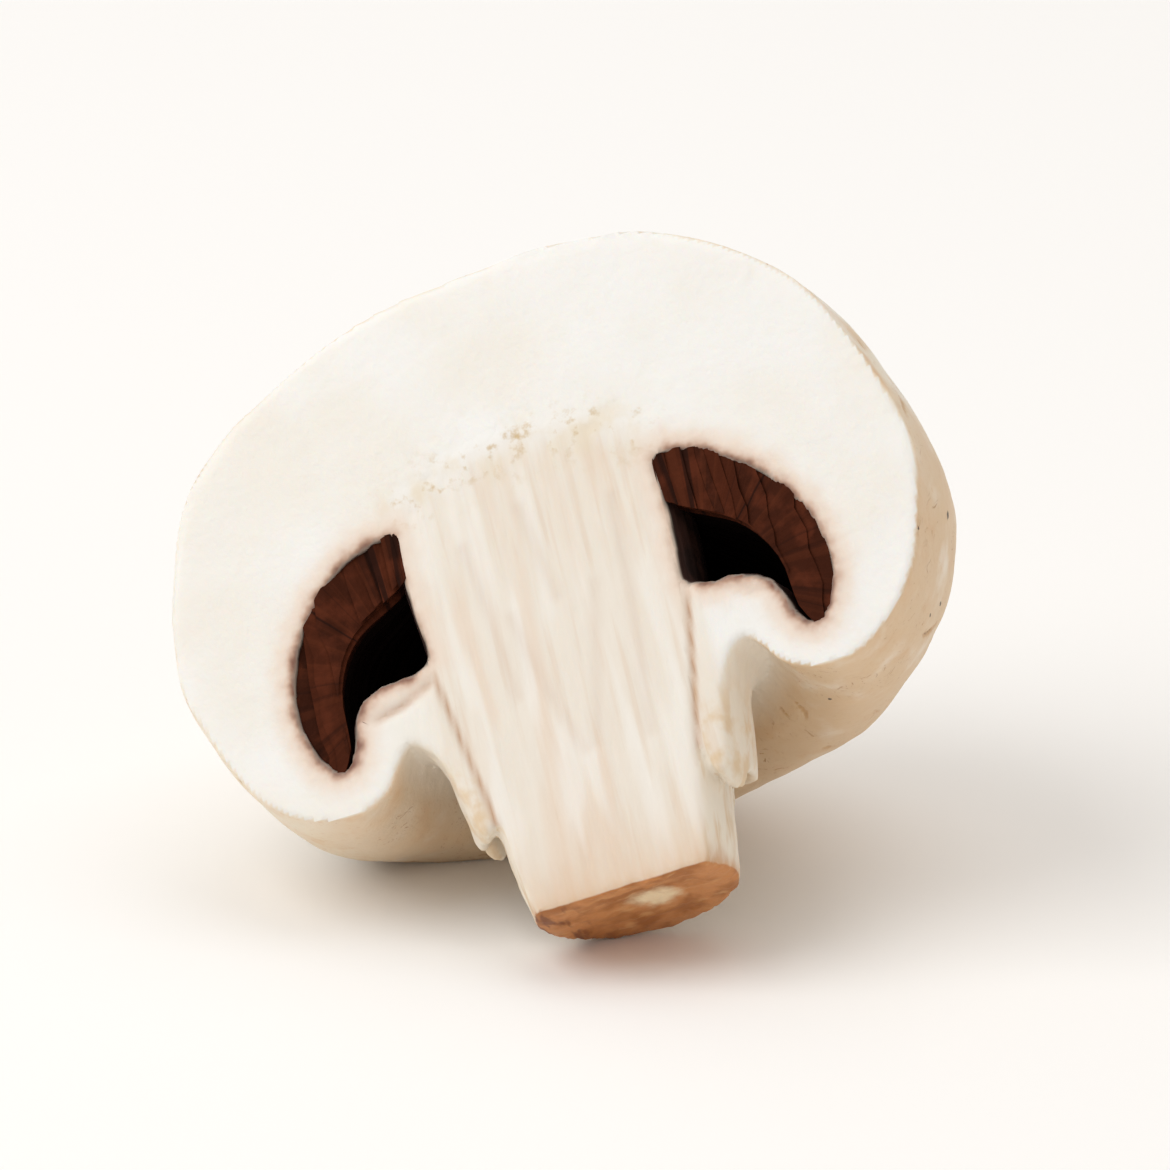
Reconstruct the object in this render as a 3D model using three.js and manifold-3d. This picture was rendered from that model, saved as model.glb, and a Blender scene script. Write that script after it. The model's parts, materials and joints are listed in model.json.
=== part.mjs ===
// Half of a closed-cup button mushroom, lying on a table. Millimetres, +Z up.
//
// The mushroom is first shaped whole on its own axis: X runs across the cut face, Y away from it,
// and Z from the end of the stem to the crown of the cap. It is then sliced lengthwise, a little in
// front of its axis, and laid down on its stem end and on the back of its cap, which was pressed
// flat by a neighbour while it grew.
import * as THREE from 'three';
import { mergeVertices } from 'three/addons/utils/BufferGeometryUtils.js';
import Module from 'manifold-3d';

const wasm = await Module();
wasm.setup();

// Driving dimensions, in millimetres
const CAP_RADIUS = 26.3;
const CAP_MID_HEIGHT = 24;
const CROWN_HEIGHT = 44.3;
const STEM_END_RADIUS = 7;
const STEM_NECK_RADIUS = 9.7;
const STEM_TOP_HEIGHT = 32.9;
const CUT_OFFSET = 3.7;
const GAP = 0.3;

// How the half lies: rolled to its left in the plane of the cut, then leaned back
const ROLL = THREE.MathUtils.degToRad(25.2);
const LEAN_BACK = THREE.MathUtils.degToRad(35.1);

// Fineness of the turned shapes and of the gills
const TURN_STEPS = 52;
const GILL_COUNT = 60;
const GROOVE_DEPTH = 0.75;

// An outline in (radius, height), rounded through its points
const rounded = (steps, ...points) =>
  new THREE.CatmullRomCurve3(points.map(([r, z]) => new THREE.Vector3(r, z, 0)), false, 'centripetal')
    .getPoints(steps)
    .map((p) => new THREE.Vector2(Math.max(p.x, 0), p.y));

// A surface to a solid with shared vertices, and back
function toSolid(geometry) {
  const bare = geometry.clone();
  bare.deleteAttribute('normal');
  bare.deleteAttribute('uv');
  const merged = mergeVertices(bare, 1e-4);
  const corners = merged.index.array;
  const triangles = [];
  for (let i = 0; i < corners.length; i += 3) {
    const [a, b, c] = [corners[i], corners[i + 1], corners[i + 2]];
    if (a !== b && b !== c && c !== a) triangles.push(a, b, c);
  }
  return new wasm.Manifold(new wasm.Mesh({
    numProp: 3,
    vertProperties: new Float32Array(merged.attributes.position.array),
    triVerts: new Uint32Array(triangles),
  }));
}

function toGeometry(solid) {
  const mesh = solid.getMesh();
  const geometry = new THREE.BufferGeometry();
  geometry.setAttribute('position', new THREE.BufferAttribute(new Float32Array(mesh.vertProperties), 3));
  geometry.setIndex(new THREE.BufferAttribute(new Uint32Array(mesh.triVerts), 1));
  geometry.computeVertexNormals();
  return geometry;
}

// A closed outline turned about the mushroom's axis
const turned = (outline, steps = TURN_STEPS) =>
  new THREE.LatheGeometry(outline, steps).rotateX(Math.PI / 2);

// Soft hollows and swellings that keep the cap from being a perfect turned shape:
// where each one is, how far it reaches, and how far it moves the skin outwards
const UNEVEN = [
  { at: new THREE.Vector3(-17, -4, 41), reach: 7, move: -0.8 },
  { at: new THREE.Vector3(15, 16, 38), reach: 12, move: -0.7 },
  { at: new THREE.Vector3(24, 8, 22), reach: 10, move: 0.6 },
  { at: new THREE.Vector3(-8, 24, 28), reach: 11, move: 0.5 },
  { at: new THREE.Vector3(10, 20, 14), reach: 7, move: -0.6 },
];
const CAP_CENTRE = new THREE.Vector3(0, 0, CAP_MID_HEIGHT);

function uneven(geometry) {
  const position = geometry.attributes.position;
  const p = new THREE.Vector3();
  for (let i = 0; i < position.count; i += 1) {
    p.fromBufferAttribute(position, i);
    const outwards = p.clone().sub(CAP_CENTRE).normalize();
    let shift = 0;
    for (const { at, reach, move } of UNEVEN) {
      shift += move * Math.exp(-((p.distanceTo(at) / reach) ** 2));
    }
    p.addScaledVector(outwards, shift);
    position.setXYZ(i, p.x, p.y, p.z);
  }
  return geometry;
}

// Everything in front of the cut is taken away
const BLOCK = 200;
const front = toSolid(new THREE.BoxGeometry(BLOCK, BLOCK, BLOCK).translate(0, -CUT_OFFSET - BLOCK / 2, 0));
const halved = (solid) => solid.subtract(front);

// The cap: domed skin, rim rolled in under it, the hollow for the gills, the seat of the stem
function makeCap() {
  const skin = rounded(28, [0, CROWN_HEIGHT], [6, CROWN_HEIGHT - 0.2], [12.6, 43], [18.2, 40.4],
    [22.4, 36.1], [25.2, 30], [CAP_RADIUS, CAP_MID_HEIGHT], [25.7, 19.3], [23.5, 14.3], [20.4, 11.2],
    [16.8, 10.3], [14.2, 11.6], [12.9, 13.6]);
  const rollEnd = rounded(4, [13.4, 15.2], [14.9, 16.3], [16, 15.2]);
  const gillRoof = rounded(14, [16.6, 14.1], [17.4, 14.1], [18.4, 15.5], [18.9, 18], [18.2, 21.7], [15.8, 25.3],
    [13, 27.5], [STEM_NECK_RADIUS + GAP, 28.4]);
  const stemSeat = rounded(7, [STEM_NECK_RADIUS + GAP, 29.2], [8.7, 31.5], [5, STEM_TOP_HEIGHT],
    [0, STEM_TOP_HEIGHT + GAP]);
  const outline = [...skin, ...rollEnd, ...gillRoof, ...stemSeat].reverse();
  return halved(toSolid(uneven(turned(outline))));
}

// The stem: trimmed flat at its end, widening to the neck, domed where it grows into the cap
function makeStem() {
  const side = rounded(20, [STEM_END_RADIUS, 0.5], [7.5, 5], [7.9, 12], [8.5, 15.5], [9.4, 20],
    [STEM_NECK_RADIUS, 24.5], [9.5, 29], [8.3, 31.2], [4.7, 32.5], [0, STEM_TOP_HEIGHT]);
  const end = [new THREE.Vector2(0, 0.25), new THREE.Vector2(STEM_END_RADIUS - 1.6, 0),
    new THREE.Vector2(STEM_END_RADIUS - 0.4, 0)];
  return halved(toSolid(turned([...end, ...side])));
}

// The gills: fine ridges that radiate from the stem and hang from the hollow's roof, deepest half way
function makeGills() {
  const tip = [16.8, 14.7];
  const topAtStem = [STEM_NECK_RADIUS + 0.6, 27.8];
  const back = rounded(9, tip, [17.9, 15.6], [18.5, 18.1], [17.8, 21.6], [15.5, 24.9], [12.9, 27], topAtStem);
  const edge = rounded(9, topAtStem, [STEM_NECK_RADIUS + 0.7, 25], [13.3, 22.5], [15.5, 19.9], [16, 17.2], tip);
  const outline = [...back, ...edge.slice(1)];
  const geometry = turned(outline, 2 * GILL_COUNT);
  const position = geometry.attributes.position;
  for (let i = 0; i < position.count; i += 1) {
    const place = i % outline.length;
    const meridian = Math.floor(i / outline.length);
    const isEdge = place >= back.length && place < outline.length - 1;
    if (isEdge && meridian % 2 === 1) {
      const root = back[outline.length - 1 - place];
      const along = Math.atan2(position.getY(i), position.getX(i));
      const r = THREE.MathUtils.lerp(outline[place].x, root.x, GROOVE_DEPTH);
      const z = THREE.MathUtils.lerp(outline[place].y, root.y, GROOVE_DEPTH);
      position.setXYZ(i, r * Math.cos(along), r * Math.sin(along), z);
    }
  }
  return halved(toSolid(geometry));
}

// The veil: the torn skirt that still joins the rolled rim to the stem, thicker on the right
function makeVeil() {
  const top = rounded(5, [14.4, 17.1], [13.1, 18.6], [11.3, 18.9], [9.9, 19.3]);
  const inner = rounded(6, [9.5, 17.8], [9, 15.5], [8.35, 12], [8, 7]);
  const outer = rounded(8, [8.5, 6.2], [9.4, 7.2], [10, 9.6], [10.7, 12.3], [12.5, 14.1]);
  const geometry = turned([...top, ...inner, ...outer, top[0]]);
  const position = geometry.attributes.position;
  for (let i = 0; i < position.count; i += 1) {
    const [x, y, z] = [position.getX(i), position.getY(i), position.getZ(i)];
    const round = Math.atan2(y, x);
    const hem = THREE.MathUtils.clamp((13 - z) / 7, 0, 1);
    const ragged = 0.9 * Math.sin(5 * round + 0.6) + 0.6 * Math.sin(11 * round);
    position.setZ(i, z + hem * ragged);
  }
  return halved(toSolid(geometry));
}

// Laying the half down: the floor touches the edge of the stem end and presses the back of the cap
const laid = new THREE.Matrix4().makeRotationX(-LEAN_BACK)
  .multiply(new THREE.Matrix4().makeRotationY(-ROLL));
const lieDown = (solid) => toGeometry(solid).applyMatrix4(laid);

const pieces = {
  cap: { geometry: lieDown(makeCap()), color: 0xf3ebdf, roughness: 0.6 },
  stem: { geometry: lieDown(makeStem()), color: 0xf2e6d6, roughness: 0.7 },
  gills: { geometry: lieDown(makeGills()), color: 0x4a2218, roughness: 0.75 },
  veil: { geometry: lieDown(makeVeil()), color: 0xf6efe4, roughness: 0.7 },
};

pieces.stem.geometry.computeBoundingBox();
const floor = pieces.stem.geometry.boundingBox.min.z;
const below = toSolid(new THREE.BoxGeometry(BLOCK, BLOCK, BLOCK).translate(0, 0, floor - BLOCK / 2));
pieces.cap.geometry = toGeometry(toSolid(pieces.cap.geometry).subtract(below));

const mushroom = new THREE.Group();
for (const [name, { geometry, color, roughness }] of Object.entries(pieces)) {
  const material = new THREE.MeshStandardMaterial({ color, roughness, metalness: 0 });
  const mesh = new THREE.Mesh(geometry, material);
  mesh.name = name;
  mushroom.add(mesh);
}

// The origin is under the middle of the object, on the floor
const box = new THREE.Box3().setFromObject(mushroom);
const middle = box.getCenter(new THREE.Vector3());
mushroom.position.set(-middle.x, -middle.y, -box.min.z);

export default mushroom;
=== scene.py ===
# Half of a closed-cup white button mushroom, lying on a pale table on its stem end and the back of
# its cap, with the knife's cut turned up towards the camera. The file is in metres, and each piece
# is shaped in millimetres on the mushroom's own axis before it is laid on the table.
import json
import math
import random

import bmesh
import bpy
from mathutils import Matrix, Vector, kdtree, noise
from mathutils.bvhtree import BVHTree


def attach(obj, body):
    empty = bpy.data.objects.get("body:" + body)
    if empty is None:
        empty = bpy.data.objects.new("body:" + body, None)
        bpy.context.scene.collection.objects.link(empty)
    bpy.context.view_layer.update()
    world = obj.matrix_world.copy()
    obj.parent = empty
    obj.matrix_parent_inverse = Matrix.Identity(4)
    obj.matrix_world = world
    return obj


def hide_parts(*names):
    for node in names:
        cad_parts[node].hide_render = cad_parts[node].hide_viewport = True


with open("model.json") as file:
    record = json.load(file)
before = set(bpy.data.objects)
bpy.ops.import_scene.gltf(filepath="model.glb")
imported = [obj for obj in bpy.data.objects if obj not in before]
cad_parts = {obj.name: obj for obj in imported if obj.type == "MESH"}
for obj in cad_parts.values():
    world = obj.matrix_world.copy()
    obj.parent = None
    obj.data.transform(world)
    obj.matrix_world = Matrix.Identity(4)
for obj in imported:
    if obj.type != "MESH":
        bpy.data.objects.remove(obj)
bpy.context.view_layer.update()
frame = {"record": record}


# ---- The lie of the half ----
# The mushroom is shaped upright: X across the cut, Y away from it, Z from the stem end up to the
# crown. The half was rolled to its left, then leaned back until it came to rest, and the cut
# face's place in the frame says where on the table it lies.
MM = 0.001
CUT_Y = -3.7
FACE_POINT = Vector((0, CUT_Y, 38.5))
ROLL = math.radians(25.2)
LEAN_BACK = math.radians(35.1)
LAID = Matrix.Rotation(-LEAN_BACK, 4, "X") @ Matrix.Rotation(-ROLL, 4, "Y") @ Matrix.Scale(MM, 4)
cut_face = next(m for m in frame["record"]["mounts"] if m["name"] == "cut_face")
TO_TABLE = Matrix.Translation(Vector(cut_face["pos_m"]) - LAID @ FACE_POINT) @ LAID
FROM_TABLE = TO_TABLE.inverted()


# ---- The flesh ----
# Cap, stem and veil grow as one body of soft white flesh round a ring-shaped hollow that holds the
# gills. The body is turned whole, pulled out of true as it grew, hollowed, and sliced lengthwise.
CAP_RADIUS = 26.3
CAP_MID = 24
CROWN = 44.3
STEM_END = 7
STEM_NECK = 9.7
AROUND = 220
POLE_MERGE = 0.002
GRAIN = 0.31
BLOCK = 120
BLOCK_MID = 25

SKIN_LINE = [(0, CROWN), (6, CROWN - 0.2), (12.6, 43), (18.2, 40.4), (22.4, 36.1), (25.2, 30),
             (CAP_RADIUS, CAP_MID), (25.7, 19.3), (23.5, 14.3), (20.4, 11.2), (16.9, 10.3), (14.3, 11.5),
             (12.9, 13.4), (12.2, 14.4)]
SKIRT_LINE = [(12.2, 14.4), (11.2, 13.7), (10.4, 12.2), (10, 9.8), (9.6, 7.8), (9.1, 7), (8.55, 7.5),
              (8.42, 9.5), (8.45, 11.5), (8.55, 13.2)]
STEM_LINE = [(8.6, 13.2), (8.2, 12.6), (8.1, 10), (7.7, 5.5), (STEM_END + 0.1, 1),
             (STEM_END - 0.5, 0.05), (4, 0.1), (0, 0.3)]
ROOF_LINE = [(STEM_NECK, 28.3), (11, 28.1), (13, 27.4), (15.8, 25.2), (18.1, 21.7), (18.8, 18),
             (18.3, 15.5), (17.4, 14), (16.5, 14), (15.8, 15.1)]
VEIL_TOP_LINE = [(15.8, 15.1), (15.2, 17), (13.9, 18.3), (12.4, 18.8), (11, 18.8), (9.4, 19.4)]
NECK_LINE = [(9.4, 19.4), (9.5, 21.5), (STEM_NECK, 24.5), (STEM_NECK, 27), (STEM_NECK, 28.3)]

# Hollows and swellings of the whole body: where, how far each reaches, how far it pushes out
UNEVEN = [((-17, -4, 41), 7, -0.9), ((15, 16, 38), 12, -0.9), ((24, 8, 22), 10, 0.6),
          ((-8, 24, 28), 11, 0.5), ((10, 20, 14), 7, -0.7), ((-4, 19, 40), 8, -0.5)]
# A slow wander of every point along X, Y and Z: where in the noise, and how far
DRIFT = [((3.1, 0.4, 7.7), 0.5), ((5.3, 8.2, 1.6), 0.25), ((0.8, 4.9, 6.1), 0.5)]
DRIFT_SIZE = 17

# The skirt lies between two radii, is torn below HEM_TOP, and has grown on to the stem above and
# inside the next pair. Its two flaps hold to the stem at the cut's sides: the way each faces, how
# wide it is, and how far it hangs down.
SKIRT_INSIDE = 8.3
SKIRT_OUTSIDE = 12.4
HEM_TOP = 13.6
HEM_LENGTH = 6.5
GROWN_ON_RADIUS = 8.7
GROWN_ON_HEIGHT = 12
RIGHT_FLAP = (Vector((0.98, -0.2, 0)), 0.34, 2.0)
LEFT_FLAP = (Vector((-0.92, -0.35, 0)), 0.36, 0.6)
FLAP_HUG = 0.32


def rounded(points, steps=8):
    """A smooth Catmull-Rom line through (radius, height) points."""
    knots = [Vector((r, 0, z)) for r, z in points]
    knots = [knots[0]] + knots + [knots[-1]]
    line = []
    for a, b, c, d in zip(knots, knots[1:], knots[2:], knots[3:]):
        for i in range(steps):
            t = i / steps
            line.append(0.5 * (2 * b + (c - a) * t + (2 * a - 5 * b + 4 * c - d) * t ** 2
                               + (3 * b - a - 3 * c + d) * t ** 3))
    line.append(knots[-1])
    return [Vector((max(p.x, 0), 0, p.z)) for p in line]


def grown(p):
    """Where a point of the evenly turned mushroom is on the one that grew."""
    outwards = (p - Vector((0, 0, CAP_MID))).normalized()
    push = sum(move * math.exp(-((p - Vector(at)).length / reach) ** 2) for at, reach, move in UNEVEN)
    drift = Vector([reach * noise.noise(p / DRIFT_SIZE + Vector(at)) for at, reach in DRIFT])
    return p + outwards * push + drift


def torn(p):
    """The veil's skirt, pulled to a ragged hem that flares unevenly round the stem."""
    r = math.hypot(p.x, p.y)
    hem = min(max((HEM_TOP - p.z) / HEM_LENGTH, 0), 1)
    grown_on = r < GROWN_ON_RADIUS and p.z > GROWN_ON_HEIGHT
    if hem == 0 or grown_on or not SKIRT_INSIDE < r < SKIRT_OUTSIDE:
        return p
    around = Vector((p.x / r, p.y / r, 0))
    tear = noise.fractal(around * 2.3 + Vector((0.4, 0, 5)), 0.7, 2.1, 3)
    slit = max(0, noise.noise(around * 6.5 + Vector((2, 7, 1))) - 0.25) * 6
    flare = max(0, 0.35 + noise.noise(around * 2.2 + Vector((9, 2, 4))))
    right, left = [math.exp(-((around - way).length / width) ** 2)
                   for way, width, _ in (RIGHT_FLAP, LEFT_FLAP)]
    flap = max(right, left)
    held = 1 - 0.95 * flap
    lift = hem * ((1.6 * tear + slit) * held - RIGHT_FLAP[2] * right - LEFT_FLAP[2] * left)
    outwards = flare * 1.3 * held * hem ** 2 - FLAP_HUG * flap * hem
    return p + around * outwards + Vector((0, 0, lift))


def turned(outline, name):
    """A closed solid: an outline spun about the mushroom's axis, then grown and torn."""
    bm = bmesh.new()
    ring = [bm.verts.new(p) for p in outline]
    edges = [bm.edges.new(pair) for pair in zip(ring, ring[1:])]
    bmesh.ops.spin(bm, geom=ring + edges, cent=(0, 0, 0), axis=(0, 0, 1), angle=2 * math.pi,
                   steps=AROUND, use_merge=True)
    bmesh.ops.remove_doubles(bm, verts=bm.verts, dist=POLE_MERGE)
    bmesh.ops.recalc_face_normals(bm, faces=bm.faces)
    for v in bm.verts:
        v.co = grown(torn(v.co))
    mesh = bpy.data.meshes.new(name)
    bm.to_mesh(mesh)
    bm.free()
    return bpy.data.objects.new(name, mesh)


def worked(obj, name):
    """The object with its modifiers taken into a mesh of its own."""
    bpy.context.collection.objects.link(obj)
    seen = obj.evaluated_get(bpy.context.evaluated_depsgraph_get())
    done = bpy.data.objects.new(name, bpy.data.meshes.new_from_object(seen))
    done.data.name = name
    bpy.context.collection.objects.unlink(obj)
    return done


def knifed(obj, tool, operation, name):
    """What is left of a closed solid outside another, or inside it."""
    copy = bpy.data.objects.new(name, obj.data)
    cut = copy.modifiers.new("cut", "BOOLEAN")
    cut.operation, cut.solver, cut.object = operation, "MANIFOLD", tool
    bpy.context.collection.objects.link(tool)
    done = worked(copy, name)
    bpy.context.collection.objects.unlink(tool)
    return done


def knife_block():
    """A block that takes away everything in front of the cut."""
    bm = bmesh.new()
    bmesh.ops.create_cube(bm, size=BLOCK)
    bmesh.ops.translate(bm, verts=bm.verts, vec=(0, CUT_Y - BLOCK / 2, BLOCK_MID))
    mesh = bpy.data.meshes.new("knife")
    bm.to_mesh(mesh)
    bm.free()
    return bpy.data.objects.new("knife", mesh)


body = turned(rounded(SKIN_LINE) + rounded(SKIRT_LINE)[1:] + rounded(STEM_LINE)[1:], "body")
hollow = turned(rounded(ROOF_LINE) + rounded(VEIL_TOP_LINE)[1:] + rounded(NECK_LINE)[1:], "hollow")
flesh = knifed(knifed(body, hollow, "DIFFERENCE", "hollowed"), knife_block(), "DIFFERENCE", "halved")
grain = flesh.modifiers.new("grain", "REMESH")
grain.mode, grain.voxel_size = "VOXEL", GRAIN
flesh = worked(flesh, "flesh")


def surface_tree(obj):
    """A search tree for how far points are from an object's surface."""
    mesh = obj.data
    return BVHTree.FromPolygons([v.co for v in mesh.vertices], [f.vertices for f in mesh.polygons])


hollow_tree = surface_tree(hollow)


def smooth(x, low, high):
    """0 below low, 1 above high, and an easy slope between."""
    t = min(max((x - low) / (high - low), 0), 1)
    return t * t * (3 - 2 * t)


def on_cut(p, n):
    """1 on the knife's cut, 0 elsewhere."""
    return smooth(-n.y, 0.6, 0.9) * smooth(CUT_Y + 0.45 - p.y, 0, 0.2)


def on_skin(p, n):
    """1 on the cap's skin, 0 on flesh, and a fade where the skin ends inside the rim."""
    if hollow_tree.find_nearest(p)[3] < 0.5:
        return 0
    r = math.hypot(p.x, p.y)
    return (1 - on_cut(p, n)) * max(smooth(r, 12.4, 13.8), smooth(p.z, 35, 37))


# Marks in the cut face: a line of (x, z) points, its depth, its width, and how brown it is painted
# (partly a stain, partly painted shade in the groove)
CUT_MARKS = [([(-9.4, 17.8), (-11.4, 16.9), (-13.3, 16.5)], 0.3, 0.35, 0.9),
             ([(-9.3, 20.5), (-8.8, 17.5), (-8.1, 13), (-7.5, 9.6), (-7.2, 7)], 0.2, 0.22, 1),
             ([(9.3, 20.2), (8.8, 17), (8.1, 12.8), (7.5, 9.6), (7.2, 7)], 0.24, 0.22, 1),
             ([(11.2, 18.2), (12.9, 17.3), (14.6, 16.9)], 0.15, 0.3, 0.4),
             ([(-2.9, 20.4), (-1.5, 14.5), (-0.1, 10.2)], 0.04, 0.45, 0.2),
             ([(3.1, 21), (1.9, 15), (0.8, 10.4)], 0.04, 0.45, 0.18),
             ([(-4.9, 26), (-4.2, 20.5), (-3.7, 15)], 0.04, 0.4, 0.22),
             ([(5.6, 26.5), (5.3, 19), (4.5, 10)], 0.04, 0.4, 0.22),
             ([(-0.6, 27.5), (0.4, 21)], 0.04, 0.5, 0.2)]


def line_distance(p, line):
    """How far a point of the cut face is from a line drawn on it."""
    q = Vector((p.x, p.z))
    nearest = 1e9
    for start, end in zip(line, line[1:]):
        a, b = Vector(start), Vector(end)
        t = min(max((q - a).dot(b - a) / (b - a).length_squared, 0), 1)
        nearest = min(nearest, (q - a.lerp(b, t)).length)
    return nearest


STEM_TOP = 32.6
STEM_DOME = 0.028


def junction(p):
    """How far above the stem's domed top a point lies, in millimetres."""
    return p.z - (STEM_TOP - STEM_DOME * (p.x ** 2 + p.y ** 2))


def fibres(p):
    """The stem's grain: long threads that run up the stem."""
    return noise.noise(Vector((p.x * 1.7, p.y * 1.7, p.z * 0.14)))


def relief(p, n):
    """How far the flesh stands proud of, or sinks below, its turned shape: each noise has a height
    and a size, in millimetres."""
    cut, skin = on_cut(p, n), on_skin(p, n)
    lumps = 0.45 * noise.noise(p / 9) + 0.16 * noise.noise(p / 3.8) + 0.03 * noise.noise(p / 1.1)
    knife = 0.05 * noise.noise(p / 5) + 0.016 * noise.noise(p / 0.8)
    stem = smooth(-junction(p), -0.5, 1.5) * smooth(11 - math.hypot(p.x, p.y), 0, 1.5)
    if cut > 0:
        knife += 0.05 * fibres(p) * stem
        pits = max(0, noise.noise(p * 1.1) - 0.2) * math.exp(-(junction(p) / 2) ** 2)
        knife -= 0.2 * pits * smooth(10 - abs(p.x), 0, 1)
        for line, depth, width, _ in CUT_MARKS:
            away = line_distance(p, line)
            if away < 3 * width:
                knife -= depth * math.exp(-(away / width) ** 2)
    threads = (1 - skin) * (1 - cut) * (0.12 * fibres(p) + 0.06 * noise.noise(p / 1.3))
    end = smooth(-n.z, 0.5, 0.9) * smooth(1.5 - p.z, 0, 0.7)
    ragged_end = end * (0.14 * noise.noise(p / 2.4) + 0.06 * noise.noise(p / 0.9))
    return skin * lumps + cut * knife + threads + ragged_end


bm = bmesh.new()
bm.from_mesh(flesh.data)
bmesh.ops.smooth_vert(bm, verts=bm.verts, factor=0.5, use_axis_x=True, use_axis_y=True, use_axis_z=True)
bm.normal_update()
moved = [TO_TABLE @ (v.co + v.normal * relief(v.co, v.normal)) for v in bm.verts]
for v, place in zip(bm.verts, moved):
    place.z = max(place.z, 0)
    v.co = FROM_TABLE @ place
bm.to_mesh(flesh.data)
whole_tree = BVHTree.FromBMesh(bm)
bm.free()
whole_points = kdtree.KDTree(len(flesh.data.vertices))
for v in flesh.data.vertices:
    whole_points.insert(v.co, v.index)
whole_points.balance()


# ---- Cap ----
# The domed cap: thick white flesh under a thin cream skin that is rubbed, flecked and scarred from
# growing crowded in its bed. What the stem and the veil take from the flesh is parted off here.
STEM_SHARE = [(0, -6), (14, -6), (14, 4.5), (8.35, 6.4), (8.36, 12.8), (8.5, 14.5), (8.9, 17),
              (9.25, 19.2), (STEM_NECK + 0.6, 20.5), (STEM_NECK + 0.6, 28.2), (STEM_NECK + 0.1, 28.9),
              (8.7, 31), (4.7, 32.4), (0, 32.9)]
VEIL_SHARE = [(5, 4), (12.6, 3), (12.3, 12.4), (12.2, 14.3), (13.4, 15.3), (15.6, 17.4), (15, 20.5),
              (5, 21), (5, 4)]
SKIN_SEED = 11
SCAR_PATCHES = 9
SCARS = 170
SCAR_DEPTH = 0.2
SPECKS = 38
SPECK_HEIGHT = 0.08
SHARP = math.radians(48)
WELD = 0.0005
SHARED_POINT = 0.01

# What each point stores, from 0 to 1: the knife's cut, the cap's skin, the stain round the hollow,
# the hollow's inside (for painted shade), scars, specks, the stem's part of the cut, its joint with
# the cap, its trimmed end, grooves, the veil's hem, the lower skin (partly its own tan, partly painted
# warm shade), the stem's foot, and flesh that is whole, away from where two pieces part
MASKS = ("cut", "skin", "halo", "inside", "scar", "speck", "stalk", "joint", "end", "groove", "hem",
         "low", "foot", "whole")


def share(outline, name):
    """The part of the whole body that one piece takes."""
    return turned([Vector((r, 0, z)) for r, z in outline], name)


stem_share = share(STEM_SHARE, "stem_share")
veil_share = share(VEIL_SHARE, "veil_share")
seam_trees = [surface_tree(tool) for tool in (stem_share, veil_share)]
stem = knifed(flesh, stem_share, "INTERSECT", "stem_flesh")
rest = knifed(flesh, stem_share, "DIFFERENCE", "rest")
veil = knifed(rest, veil_share, "INTERSECT", "veil_flesh")
cap = knifed(rest, veil_share, "DIFFERENCE", "cap_flesh")


def scarred(bm, layer, speck_layer):
    """Shallow curved nicks in the skin, most of them in rough patches, and specks of the dark bed."""
    draw = random.Random(SKIN_SEED)
    skin = [v for v in bm.verts if on_skin(v.co, v.normal) > 0.8]
    tree = kdtree.KDTree(len(skin))
    for i, v in enumerate(skin):
        tree.insert(v.co, i)
    tree.balance()
    patches = [(draw.choice(skin).co.copy(), Vector([draw.gauss(0, 1) for _ in range(3)]))
               for _ in range(SCAR_PATCHES)]
    for i in range(SCARS):
        centre, grain = draw.choice(skin), Vector([draw.gauss(0, 1) for _ in range(3)])
        if i % 3:
            middle, grain = draw.choice(patches)
            centre = skin[tree.find(middle + Vector([draw.gauss(0, 2.6) for _ in range(3)]))[1]]
            grain = grain + Vector([draw.gauss(0, 0.45) for _ in range(3)])
        along = centre.normal.cross(grain).normalized()
        across = centre.normal.cross(along)
        length, width = 0.35 + draw.random() ** 2 * 1.7, draw.uniform(0.12, 0.2)
        strength, bend = 0.15 + 0.85 * draw.random() ** 3, draw.uniform(-0.5, 0.5)
        origin, normal = centre.co.copy(), centre.normal.copy()
        for _, j, _ in tree.find_range(origin, length * 1.3 + 0.4):
            v = skin[j]
            u, w = (v.co - origin).dot(along), (v.co - origin).dot(across)
            w += bend * u * u / length + 0.2 * noise.noise(v.co * 1.3)
            taper = smooth(length - abs(u), 0, 0.8 * length)
            mark = strength * math.exp(-(w / (width * (0.5 + taper))) ** 2) * taper
            v.co = v.co - normal * mark * SCAR_DEPTH
            v[layer] = max(v[layer], mark)
    for _ in range(SPECKS):
        centre = draw.choice(skin)
        size, origin = 0.1 + 0.22 * draw.random() ** 2, centre.co.copy()
        for _, j, _ in tree.find_range(origin, size * 2.5):
            v = skin[j]
            mark = math.exp(-((v.co - origin).length / size) ** 2)
            v.co = v.co + v.normal * mark * SPECK_HEIGHT
            v[speck_layer] = max(v[speck_layer], mark)


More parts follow.
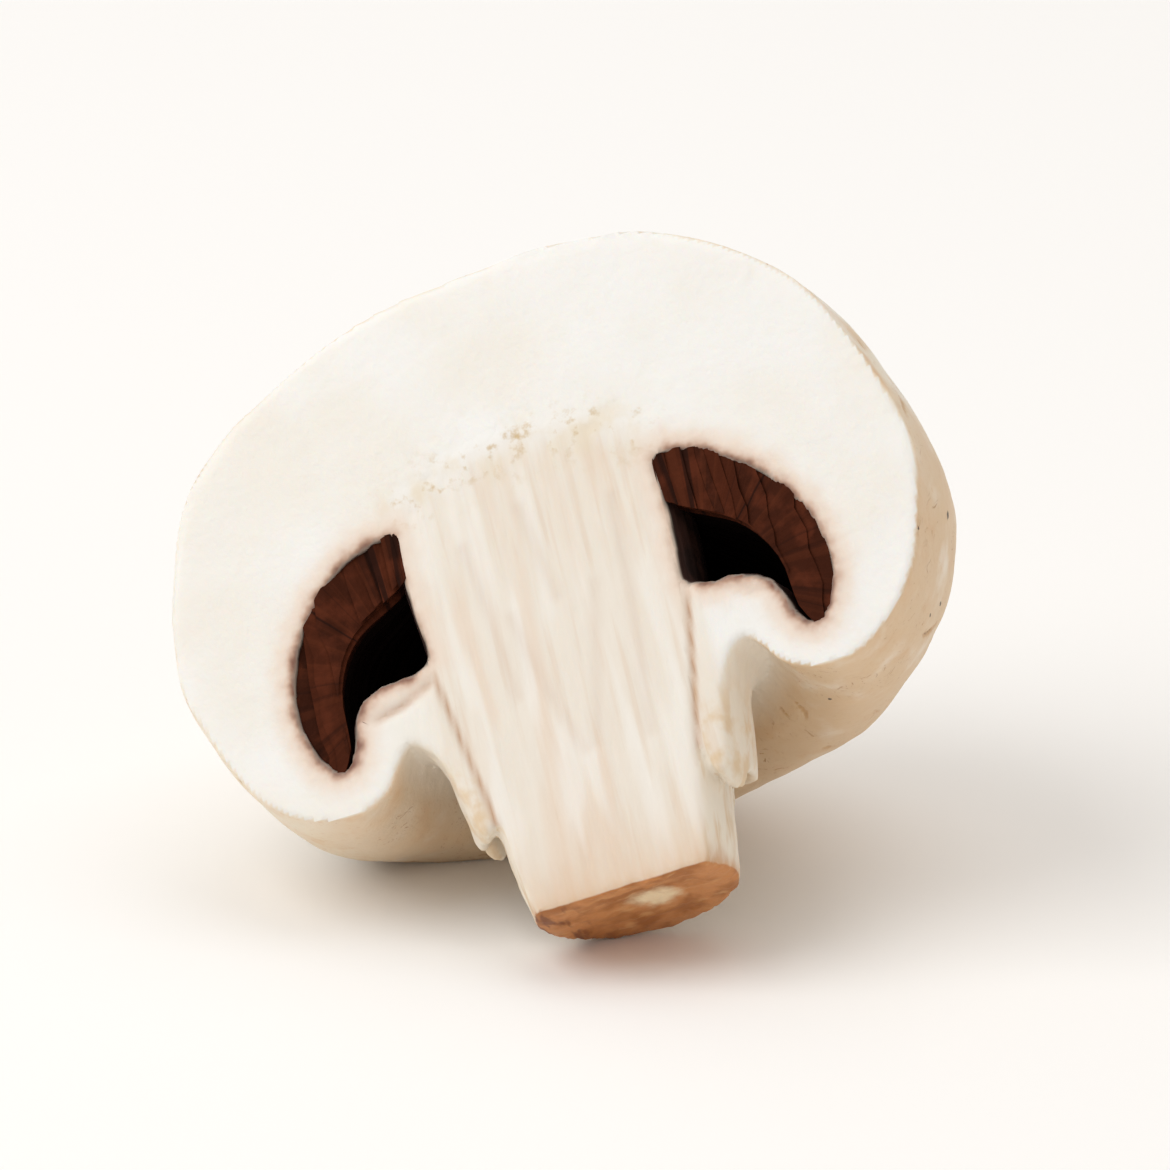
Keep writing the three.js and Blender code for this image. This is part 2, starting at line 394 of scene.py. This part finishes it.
def marked(obj, name, extra=None):
    """A finished piece: its masks stored point by point, its mesh laid on the table."""
    bm = bmesh.new()
    bm.from_mesh(obj.data)
    bmesh.ops.remove_doubles(bm, verts=bm.verts, dist=WELD)
    bmesh.ops.dissolve_degenerate(bm, edges=bm.edges, dist=WELD)
    bm.normal_update()
    layers = {key: bm.verts.layers.float.new(key) for key in MASKS}
    for v in bm.verts:
        p, n = v.co, v.normal
        if whole_tree.find_nearest(p, SHARED_POINT)[0]:
            n = flesh.data.vertices[whole_points.find(p)[1]].normal
        seam = min(tree.find_nearest(p)[3] for tree in seam_trees)
        v[layers["whole"]] = smooth(seam, 0.2, 1.6)
        cut_edge = smooth(-n.y, 0.1, 0.4) * smooth(CUT_Y + 0.26 - p.y, 0, 0.16)
        cut = max(on_cut(p, n), cut_edge)
        near = hollow_tree.find_nearest(p)[3]
        r = math.hypot(p.x, p.y)
        v[layers["cut"]] = cut
        v[layers["skin"]] = (1 - cut) * on_skin(p, n)
        # The lower skin: partly its own tan, partly painted warm shade, stronger towards the rim and one
        # flank
        v[layers["low"]] = smooth(24 - p.z + 0.3 * p.x + 4 * noise.noise(p / 6), 0, 12)
        v[layers["inside"]] = (1 - cut) * smooth(0.65 - near, 0, 0.35)
        stalk = smooth(-junction(p), -1.2, 2.2) * smooth(11 - r, 0, 1.2)
        v[layers["stalk"]] = stalk
        v[layers["halo"]] = math.exp(-near / 1.15) * (1 - 0.4 * stalk)
        joint = math.exp(-((junction(p) + noise.noise(p / 3)) / 1.9) ** 2)
        v[layers["joint"]] = cut * joint * smooth(11 - abs(p.x), 0, 2)
        v[layers["foot"]] = math.exp(-max(p.z, 0) / 2.4)
        v[layers["end"]] = smooth(-n.z, 0.35, 0.8) * smooth(1.6 - p.z, 0, 0.9)
        v[layers["hem"]] = smooth(13.5 - p.z, 0, 5) * smooth(r, 8.35, 8.5)
        # Grooves in the cut, for a brown that is partly stain and partly painted shade in the crease
        if cut > 0.1:
            v[layers["groove"]] = max(brown * math.exp(-(line_distance(p, line) / width) ** 2)
                                      for line, _, width, brown in CUT_MARKS)
    if extra:
        extra(bm, layers["scar"], layers["speck"])
    bmesh.ops.transform(bm, matrix=TO_TABLE, verts=bm.verts)
    for v in bm.verts:
        v.co.z = max(v.co.z, 0)
    for face in bm.faces:
        face.smooth = True
    for edge in bm.edges:
        edge.smooth = edge.calc_face_angle(0) < SHARP
    mesh = bpy.data.meshes.new(name)
    bm.to_mesh(mesh)
    bm.free()
    piece = bpy.data.objects.new(name, mesh)
    bpy.context.collection.objects.link(piece)
    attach(piece, "root")
    return piece


def colour(code):
    """A screen colour, such as "f4ecdf", as the linear colour that a shader takes."""
    parts = [int(code[i:i + 2], 16) / 255 for i in (0, 2, 4)]
    return (*[c / 12.92 if c <= 0.04045 else ((c + 0.055) / 1.055) ** 2.4 for c in parts], 1)


SOAK_COLOUR = (1.0, 0.72, 0.5)
SOAK_DEPTH = 1.3
SWIRL = 0.22


class Paint:
    """A material as it is mixed: its nodes, and short ways to add and join them."""

    def __init__(self, name, roughness):
        self.material = bpy.data.materials.new(name)
        self.material.use_nodes = True
        self.nodes, self.links = self.material.node_tree.nodes, self.material.node_tree.links
        self.shader = self.nodes["Principled BSDF"]
        self.shader.inputs["Roughness"].default_value = roughness
        place = self.nodes.new("ShaderNodeTexCoord")
        self.upright = self.nodes.new("ShaderNodeMapping")
        self.upright.inputs["Location"].default_value = FROM_TABLE.translation
        self.upright.inputs["Rotation"].default_value = FROM_TABLE.to_euler()
        self.upright.inputs["Scale"].default_value = [1 / MM] * 3
        self.links.new(place.outputs["Object"], self.upright.inputs["Vector"])

    def put(self, socket, value):
        """A number, a colour or another node's output goes into a socket."""
        if isinstance(value, bpy.types.NodeSocket):
            self.links.new(value, socket)
        else:
            socket.default_value = value

    def mask(self, name):
        """One of the masks that are stored on the mesh."""
        node = self.nodes.new("ShaderNodeAttribute")
        node.attribute_name = name
        return node.outputs["Fac"]

    def math(self, operation, a, b=0.0, clamp=False):
        """Arithmetic on two numbers or outputs."""
        node = self.nodes.new("ShaderNodeMath")
        node.operation, node.use_clamp = operation, clamp
        self.put(node.inputs[0], a)
        self.put(node.inputs[1], b)
        return node.outputs[0]

    def times(self, a, b):
        """Two numbers or outputs multiplied."""
        return self.math("MULTIPLY", a, b)

    def cloud(self, size, detail=2.0, stretch=(1, 1, 1), shift=0.0, rough=0.5, bent=0.0):
        """Soft noise whose lumps are about size millimetres across; bent makes long lumps curve."""
        spread = self.nodes.new("ShaderNodeMapping")
        spread.inputs["Scale"].default_value = [1 / (size * s) for s in stretch]
        spread.inputs["Location"].default_value = [shift] * 3
        self.links.new(self.upright.outputs["Vector"], spread.inputs["Vector"])
        if bent:
            swirl = self.nodes.new("ShaderNodeTexNoise")
            swirl.inputs["Scale"].default_value = SWIRL
            self.links.new(self.upright.outputs["Vector"], swirl.inputs["Vector"])
            push = self.nodes.new("ShaderNodeVectorMath")
            push.operation = "MULTIPLY_ADD"
            self.links.new(swirl.outputs["Color"], push.inputs[0])
            push.inputs[1].default_value = [bent] * 3
            self.links.new(self.upright.outputs["Vector"], push.inputs[2])
            self.links.new(push.outputs["Vector"], spread.inputs["Vector"])
        node = self.nodes.new("ShaderNodeTexNoise")
        node.inputs["Scale"].default_value = 1
        node.inputs["Detail"].default_value = detail
        node.inputs["Roughness"].default_value = rough
        self.links.new(spread.outputs["Vector"], node.inputs["Vector"])
        return node.outputs["Fac"]

    def between(self, value, low, high, top=1.0):
        """0 below low, top above high, eased between."""
        node = self.nodes.new("ShaderNodeMapRange")
        node.interpolation_type = "SMOOTHSTEP"
        self.put(node.inputs["Value"], value)
        node.inputs["From Min"].default_value, node.inputs["From Max"].default_value = low, high
        node.inputs["To Max"].default_value = top
        return node.outputs["Result"]

    def over(self, under, top, mask):
        """One colour laid over another where the mask is white."""
        node = self.nodes.new("ShaderNodeMix")
        node.data_type = "RGBA"
        self.put(node.inputs["Factor"], mask)
        self.put(node.inputs[6], under)
        self.put(node.inputs[7], top)
        return node.outputs[2]

    def finish(self, base, height=None, depth=0.1, soft=0.0):
        """The colour, the fine relief in millimetres, and how far light soaks in."""
        self.put(self.shader.inputs["Base Color"], base)
        if height is not None:
            bump = self.nodes.new("ShaderNodeBump")
            bump.inputs["Strength"].default_value = 1
            bump.inputs["Distance"].default_value = depth * MM
            self.put(bump.inputs["Height"], height)
            self.links.new(bump.outputs["Normal"], self.shader.inputs["Normal"])
        if soft:
            self.put(self.shader.inputs["Subsurface Weight"], self.times(self.mask("whole"), soft))
            self.shader.inputs["Subsurface Radius"].default_value = SOAK_COLOUR
            self.shader.inputs["Subsurface Scale"].default_value = SOAK_DEPTH * MM
        return self.material


def cut_colours(paint):
    """The cut flesh: near white in the cap, threaded cream in the stem, stained brown by the gills."""
    tone = paint.over(colour("f2f1ee"), colour("efebe3"), paint.between(paint.cloud(11, 2), 0.42, 0.7))
    freckles = paint.between(paint.cloud(1.6, 3, shift=4), 0.58, 0.8, 0.22)
    tone = paint.over(tone, colour("eae2d5"), freckles)
    stalk = paint.mask("stalk")
    tone = paint.over(tone, colour("eae1d4"), paint.times(stalk, 0.9))
    threads = paint.between(paint.cloud(0.7, 3, (1, 1, 18), 2, 0.55), 0.5, 0.72)
    tone = paint.over(tone, colour("dcc2a8"), paint.times(paint.times(threads, stalk), 0.34))
    wide = paint.between(paint.cloud(2.6, 2, (1, 1, 7), 17), 0.5, 0.68)
    tone = paint.over(tone, colour("e6d0bb"), paint.times(paint.times(wide, stalk), 0.5))
    pale = paint.between(paint.cloud(2.0, 2, (1, 1, 9), 8), 0.5, 0.66)
    tone = paint.over(tone, colour("f3f0ea"), paint.times(paint.times(pale, stalk), 0.62))
    uneven = paint.math("ADD", paint.cloud(1.2, 3, (1, 1, 4), 3), 0.35)
    foot = paint.times(paint.mask("foot"), uneven)
    tone = paint.over(tone, colour("d9b692"), paint.math("MULTIPLY", foot, 0.95, True))
    joint = paint.mask("joint")
    crumb = paint.between(paint.cloud(2.2, 3, shift=14), 0.42, 0.68, 0.7)
    tone = paint.over(tone, colour("e6d8bf"), paint.times(crumb, joint))
    flecks = paint.between(paint.cloud(1.1, 3, shift=12, rough=0.6), 0.53, 0.74)
    tone = paint.over(tone, colour("cdb183"), paint.times(paint.times(flecks, joint), 0.9))
    # Grooves painted brown: partly stained flesh, partly painted shade in the crease
    tone = paint.over(tone, colour("bd9069"), paint.times(paint.mask("groove"), 0.75))
    halo = paint.mask("halo")
    wavy = paint.times(halo, paint.math("ADD", paint.cloud(1.2, 2, shift=6), 0.55))
    tone = paint.over(tone, colour("ead8c8"), paint.between(wavy, 0.08, 0.42, 0.8))
    tone = paint.over(tone, colour("c9a48c"), paint.between(wavy, 0.36, 0.78, 0.85))
    tone = paint.over(tone, colour("7a4a36"), paint.between(wavy, 0.6, 0.98, 0.95))
    return tone


def hollow_colours(paint, under):
    """The inside of the hollow, darkened nearly to black as painted shade."""
    # Painted shade: the hollow's walls are darkened where shade falls in the recess
    hollow_shade = paint.over(colour("3c221a"), colour("23120d"), paint.between(paint.cloud(1.5, 3), 0.4, 0.65))
    return paint.over(under, hollow_shade, paint.mask("inside"))


def cap_paint():
    """Cream skin, darker tan towards the rim and one flank (partly its own tan, partly painted warm
    shade), tanned in rubbed patches, with brown scratches; white where cut.
    """
    paint = Paint("cap_skin_and_flesh", 0.48)
    broad = paint.between(paint.cloud(14, 2, shift=1), 0.42, 0.62)
    skin = paint.over(colour("f3ede1"), colour("eaddc6"), broad)
    # Painted warm shade, partly the skin's own tan: a darker tan towards the rim and one flank
    skin = paint.over(skin, colour("dcc09d"), paint.mask("low"))
    rubbed = paint.between(paint.cloud(7.5, 3, shift=21), 0.5, 0.76)
    skin = paint.over(skin, colour("dfbd95"), paint.times(rubbed, 0.85))
    stain = paint.between(paint.cloud(2.8, 4, shift=31, rough=0.6), 0.52, 0.74)
    skin = paint.over(skin, colour("d6ae82"), paint.times(stain, 0.45))
    bleached = paint.between(paint.cloud(3.6, 3, shift=71), 0.5, 0.78)
    skin = paint.over(skin, colour("f5f0e6"), paint.times(bleached, 0.5))
    grains = paint.between(paint.cloud(0.45, 3, shift=61, rough=0.6), 0.56, 0.74)
    skin = paint.over(skin, colour("d3b084"), paint.times(grains, 0.4))
    rough_place = paint.between(paint.cloud(5, 2, shift=81), 0.48, 0.64)
    one_way = paint.between(paint.cloud(0.24, 2, (1, 1.3, 10), 41, 0.5, 7), 0.63, 0.73)
    other_way = paint.between(paint.cloud(0.24, 2, (10, 1.3, 1), 43, 0.5, 7), 0.65, 0.74)
    scratches = paint.times(paint.math("MAXIMUM", one_way, other_way), rough_place)
    skin = paint.over(skin, colour("b98a5a"), paint.times(scratches, 0.75))
    scar = paint.mask("scar")
    skin = paint.over(skin, colour("cba272"), paint.between(scar, 0.08, 0.4, 0.7))
    skin = paint.over(skin, colour("8a5830"), paint.between(scar, 0.45, 0.95, 0.85))
    skin = paint.over(skin, colour("35261d"), paint.between(paint.mask("speck"), 0.3, 0.6, 0.9))
    inner_rim = paint.over(colour("ece0cf"), cut_colours(paint), paint.mask("cut"))
    tone = paint.over(inner_rim, skin, paint.mask("skin"))
    tone = hollow_colours(paint, tone)
    fine = paint.math("ADD", paint.cloud(0.5, 4, shift=51), paint.times(paint.cloud(1.6, 2), 0.7))
    scored = paint.times(scratches, paint.times(paint.mask("skin"), 0.8))
    return paint.finish(tone, paint.math("SUBTRACT", fine, scored), 0.05, 0.3)


cap_piece = marked(cap, "cap_flesh_and_skin", scarred)
cap_piece.data.materials.append(cap_paint())
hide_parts("cap")


# ---- Stem ----
# The stalk: threaded cream flesh, widest where it meets the cap, trimmed with a knife at the
# bottom, where the cut has dried to a rough brown with a paler heart.
HEART = (1.3, 0.2, 0)


def stem_paint():
    """Threaded cream flesh and rind, with the dried brown end, its pale heart and its cracks."""
    paint = Paint("stem_flesh", 0.6)
    tone = cut_colours(paint)
    streaks = paint.between(paint.cloud(1.0, 3, (1, 1, 8), 3, 0.6), 0.45, 0.7)
    rind = paint.over(colour("ece2d2"), colour("dcc4a4"), streaks)
    outside = paint.math("SUBTRACT", 1.0, paint.mask("cut"), True)
    tone = paint.over(tone, rind, outside)
    uneven = paint.math("ADD", paint.cloud(1.4, 3, (1, 1, 3), 33), 0.2)
    creep = paint.times(paint.mask("foot"), uneven)
    tone = paint.over(tone, colour("c8996c"), paint.times(paint.between(creep, 0.3, 0.8), outside))
    tone = hollow_colours(paint, tone)
    dried = paint.between(paint.cloud(2.4, 3, shift=5), 0.4, 0.64)
    brown = paint.over(colour("c2834d"), colour("a46733"), dried)
    buff = paint.between(paint.cloud(1.2, 3, (2, 1, 1), 15), 0.54, 0.74, 0.6)
    brown = paint.over(brown, colour("d3a36d"), buff)
    heart = paint.nodes.new("ShaderNodeVectorMath")
    heart.operation = "DISTANCE"
    paint.links.new(paint.upright.outputs["Vector"], heart.inputs[0])
    heart.inputs[1].default_value = HEART
    pale = paint.math("ADD", heart.outputs["Value"], paint.times(paint.cloud(1.1, 3), 1.8))
    brown = paint.over(colour("ecd6b0"), brown, paint.between(pale, 1.6, 3.2))
    side = paint.nodes.new("ShaderNodeSeparateXYZ")
    paint.links.new(paint.upright.outputs["Vector"], side.inputs["Vector"])
    veins = paint.between(paint.cloud(0.8, 2, (1, 5, 1), 23), 0.5, 0.62)
    crack = paint.times(veins, paint.between(side.outputs["X"], -2.6, -5.2))
    brown = paint.over(brown, colour("733e1c"), paint.times(crack, 0.8))
    tone = paint.over(tone, brown, paint.between(paint.mask("end"), 0.1, 0.6))
    fine = paint.math("ADD", paint.cloud(0.45, 4, (1, 1, 4), 7), paint.cloud(1.2, 3, (1, 1, 3)))
    return paint.finish(tone, fine, 0.05, 0.25)


stem_piece = marked(stem, "stem_flesh_and_end")
stem_piece.data.materials.append(stem_paint())
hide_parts("stem")


# ---- Veil ----
# The thin white membrane that shut the young cap. It tore as the cap grew, and still joins the
# rolled rim to the stem, with its ragged hem hanging down round the stalk.


def veil_paint():
    """White membrane with a beige outside (partly its own cream, partly painted shade), dried to tan in
    places along its hem.
    """
    paint = Paint("veil_membrane", 0.62)
    tone = cut_colours(paint)
    outside = paint.math("SUBTRACT", 1.0, paint.mask("cut"), True)
    # The outside: a beige that is partly the membrane's own cream and partly painted shade
    tone = paint.over(tone, colour("ebe1d1"), outside)
    dry = paint.between(paint.cloud(1.8, 3, shift=9), 0.42, 0.66, 0.8)
    tone = paint.over(tone, colour("dcc19b"), paint.times(paint.mask("hem"), dry))
    tone = hollow_colours(paint, tone)
    fine = paint.cloud(0.6, 4, (1, 1, 2.5), 5)
    return paint.finish(tone, fine, 0.08, 0.3)


veil_piece = marked(veil, "veil_skirt")
veil_piece.data.materials.append(veil_paint())
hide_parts("veil")


# ---- Gills ----
# Some hundreds of paper-thin plates, dark with ripening spores, that stand side by side round the
# stem like the leaves of a book and hang from the roof of the hollow. The knife cut across them.
GILL_SEED = 5
GILL_COUNT = 330
GILL_THICKNESS = (0.13, 0.2)
GILL_REACH = (0.9, 1.03)
GILL_SWAY = 0.16
GILL_STRAY = 0.16
GILL_BEHIND_CUT = (0.07, 0.47)
FAN_CENTRE = (11, 19)
GILL_BACK = [(16.9, 13.6), (17.8, 13.9), (18.7, 15.6), (19.2, 18), (18.5, 21.9), (16, 25.6), (13, 27.9),
             (STEM_NECK - 0.3, 28.7)]
GILL_EDGE = [(STEM_NECK - 0.3, 25.3), (STEM_NECK + 0.6, 24.5), (12, 23.5), (13.5, 22.5), (14.8, 21),
             (15.7, 19), (16, 17), (16.1, 15.2), (16.9, 13.6)]


def gill_plate(angle, thickness, reach, tint, behind):
    """One plate: a crescent strip with a slow wave in it, turned to its place and cut off."""
    bm = bmesh.new()
    layer = bm.verts.layers.float.new("tint")
    back, edge = rounded(GILL_BACK, 2), rounded(GILL_EDGE, 2)
    roots = [bm.verts.new(p) for p in back]
    along = [bm.edges.new(pair) for pair in zip(roots, roots[1:])]
    made = bmesh.ops.extrude_edge_only(bm, edges=along)["geom"]
    for v in made:
        if isinstance(v, bmesh.types.BMVert):
            down = min(range(len(back)), key=lambda i: (back[i] - v.co).length) / (len(back) - 1)
            v.co = v.co.lerp(edge[round((1 - down) * (len(edge) - 1))], reach)
    faces = bm.faces[:]
    for v in bm.verts:
        sway = noise.noise(Vector((v.co.x * 0.45, angle * 31, v.co.z * 0.45)))
        v.co.y = GILL_SWAY * sway - thickness / 2
    made = bmesh.ops.extrude_face_region(bm, geom=faces)["geom"]
    other_side = [g for g in made if isinstance(g, bmesh.types.BMVert)]
    bmesh.ops.translate(bm, verts=other_side, vec=(0, thickness, 0))
    bmesh.ops.rotate(bm, verts=bm.verts, cent=(0, 0, 0), matrix=Matrix.Rotation(angle, 3, "Z"))
    for v in bm.verts:
        v.co = grown(v.co)
        v[layer] = tint
    bmesh.ops.bisect_plane(bm, geom=bm.verts[:] + bm.edges[:] + bm.faces[:],
                           plane_co=(0, CUT_Y + behind, 0), plane_no=(0, -1, 0), clear_outer=True)
    bmesh.ops.holes_fill(bm, edges=[e for e in bm.edges if e.is_boundary], sides=0)
    bmesh.ops.recalc_face_normals(bm, faces=bm.faces)
    # Painted shade: how far a point lies back from the cut, for darkening plates deep in the hollow
    depth_shade = bm.verts.layers.float.new("depth_shade")
    for v in bm.verts:
        v[depth_shade] = smooth(v.co.y, CUT_Y + 0.7, CUT_Y + 2.6)
    return bm


draw = random.Random(GILL_SEED)
gill_mesh = bpy.data.meshes.new("gill_plates")
bm = bmesh.new()
for i in range(GILL_COUNT):
    angle = 2 * math.pi * (i + draw.uniform(-GILL_STRAY, GILL_STRAY)) / GILL_COUNT
    thickness, reach, tint = draw.uniform(*GILL_THICKNESS), draw.uniform(*GILL_REACH), draw.random()
    behind = GILL_BEHIND_CUT[0] + draw.random() ** 2 * (GILL_BEHIND_CUT[1] - GILL_BEHIND_CUT[0])
    plate = gill_plate(angle, thickness, reach, tint, behind)
    plate.to_mesh(gill_mesh)
    plate.free()
    bm.from_mesh(gill_mesh)
bmesh.ops.transform(bm, matrix=TO_TABLE, verts=bm.verts)
bm.to_mesh(gill_mesh)
bm.free()


def gill_paint():
    """Dark brown plates with faint ribs that fan out from the hollow towards its roof, blackened as
    painted shade where they lie deeper in the hollow.
    """
    paint = Paint("gill_plates", 0.72)
    paint.shader.inputs["Specular IOR Level"].default_value = 0.06
    tone = paint.over(colour("471f0f"), colour("34160a"), paint.mask("tint"))
    tone = paint.over(tone, colour("5c2b19"), paint.between(paint.cloud(1.6, 3, shift=3), 0.46, 0.7, 0.6))
    split = paint.nodes.new("ShaderNodeSeparateXYZ")
    paint.links.new(paint.upright.outputs["Vector"], split.inputs["Vector"])
    across = paint.math("POWER", split.outputs["X"], 2.0)
    radius = paint.math("SQRT", paint.math("ADD", across, paint.math("POWER", split.outputs["Y"], 2.0)))
    turn = paint.math("ARCTAN2", paint.math("SUBTRACT", split.outputs["Z"], FAN_CENTRE[1]),
                      paint.math("SUBTRACT", radius, FAN_CENTRE[0]))
    ribs = paint.nodes.new("ShaderNodeTexNoise")
    ribs.noise_dimensions = "1D"
    ribs.inputs["Scale"].default_value = 9
    ribs.inputs["Detail"].default_value = 3
    paint.put(ribs.inputs["W"], paint.math("ADD", turn, paint.times(paint.mask("tint"), 0.05)))
    tone = paint.over(tone, colour("62301b"), paint.between(ribs.outputs["Fac"], 0.5, 0.36, 0.24))
    tone = paint.over(tone, colour("1c0c07"), paint.between(ribs.outputs["Fac"], 0.58, 0.72, 0.75))
    # Painted shade: plates deeper behind the cut darken towards black
    tone = paint.over(tone, colour("150906"), paint.mask("depth_shade"))
    return paint.finish(tone, paint.math("SUBTRACT", paint.cloud(0.4, 3), ribs.outputs["Fac"]), 0.08)


gills = bpy.data.objects.new("gill_plates", gill_mesh)
bpy.context.collection.objects.link(gills)
gill_mesh.materials.append(gill_paint())
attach(gills, "root")
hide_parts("gills")


# ---- Table, light and camera ----
# A plain white table under large soft lamps, and a long lens that looks down on the cut face from a
# little to its right.
CAMERA_AZIMUTH = 19.6
CAMERA_ELEVATION = 22
CAMERA_AWAY = 0.9
FRAME_WIDTH = 0.078
AIM = Vector((0.0005, 0, 0.0195))
TABLE_HALF = 4
ROOM_TONE = (1, 0.965, 0.92, 1)
ROOM_STRENGTH = 0.53


def outlook(azimuth, elevation):
    """The direction from the object towards a place round it; azimuth 0 is in front of the cut."""
    a, e = math.radians(azimuth), math.radians(elevation)
    return Vector((math.sin(a) * math.cos(e), -math.cos(a) * math.cos(e), math.sin(e)))


def lamp(name, azimuth, elevation, away, size, power, tone):
    """A large square lamp, placed round the object and facing it."""
    light = bpy.data.lights.new(name, "AREA")
    light.size, light.energy, light.color = size, power, tone
    holder = bpy.data.objects.new(name, light)
    holder.location = outlook(azimuth, elevation) * away
    holder.rotation_mode = "QUATERNION"
    holder.rotation_quaternion = outlook(azimuth, elevation).to_track_quat("Z", "Y")
    bpy.context.collection.objects.link(holder)


lamp("window", -55, 48, 0.9, 0.7, 4.0, (1, 1, 0.995))
lamp("warm_fill", 75, 14, 1.0, 0.8, 0.95, (1, 0.88, 0.75))
lamp("overhead", 160, 70, 0.9, 0.8, 2.0, (1, 1, 0.995))

bm = bmesh.new()
bmesh.ops.create_grid(bm, x_segments=1, y_segments=1, size=TABLE_HALF)
table_mesh = bpy.data.meshes.new("table")
bm.to_mesh(table_mesh)
bm.free()
table = bpy.data.objects.new("table", table_mesh)
bpy.context.collection.objects.link(table)
table_paint = Paint("table_top", 0.6)
table_mesh.materials.append(table_paint.finish(colour("fdfcfb")))

world = bpy.data.worlds.new("studio")
world.use_nodes = True
room = world.node_tree.nodes["Background"]
room.inputs["Color"].default_value = ROOM_TONE
room.inputs["Strength"].default_value = ROOM_STRENGTH
bpy.context.scene.world = world
bpy.context.scene.view_settings.view_transform = "Standard"

camera = bpy.data.objects.new("camera", bpy.data.cameras.new("camera"))
camera.data.lens = CAMERA_AWAY * camera.data.sensor_width / FRAME_WIDTH
camera.location = AIM + outlook(CAMERA_AZIMUTH, CAMERA_ELEVATION) * CAMERA_AWAY
camera.rotation_mode = "QUATERNION"
camera.rotation_quaternion = outlook(CAMERA_AZIMUTH, CAMERA_ELEVATION).to_track_quat("Z", "Y")
camera.data.clip_start = 0.01
bpy.context.collection.objects.link(camera)
bpy.context.scene.camera = camera
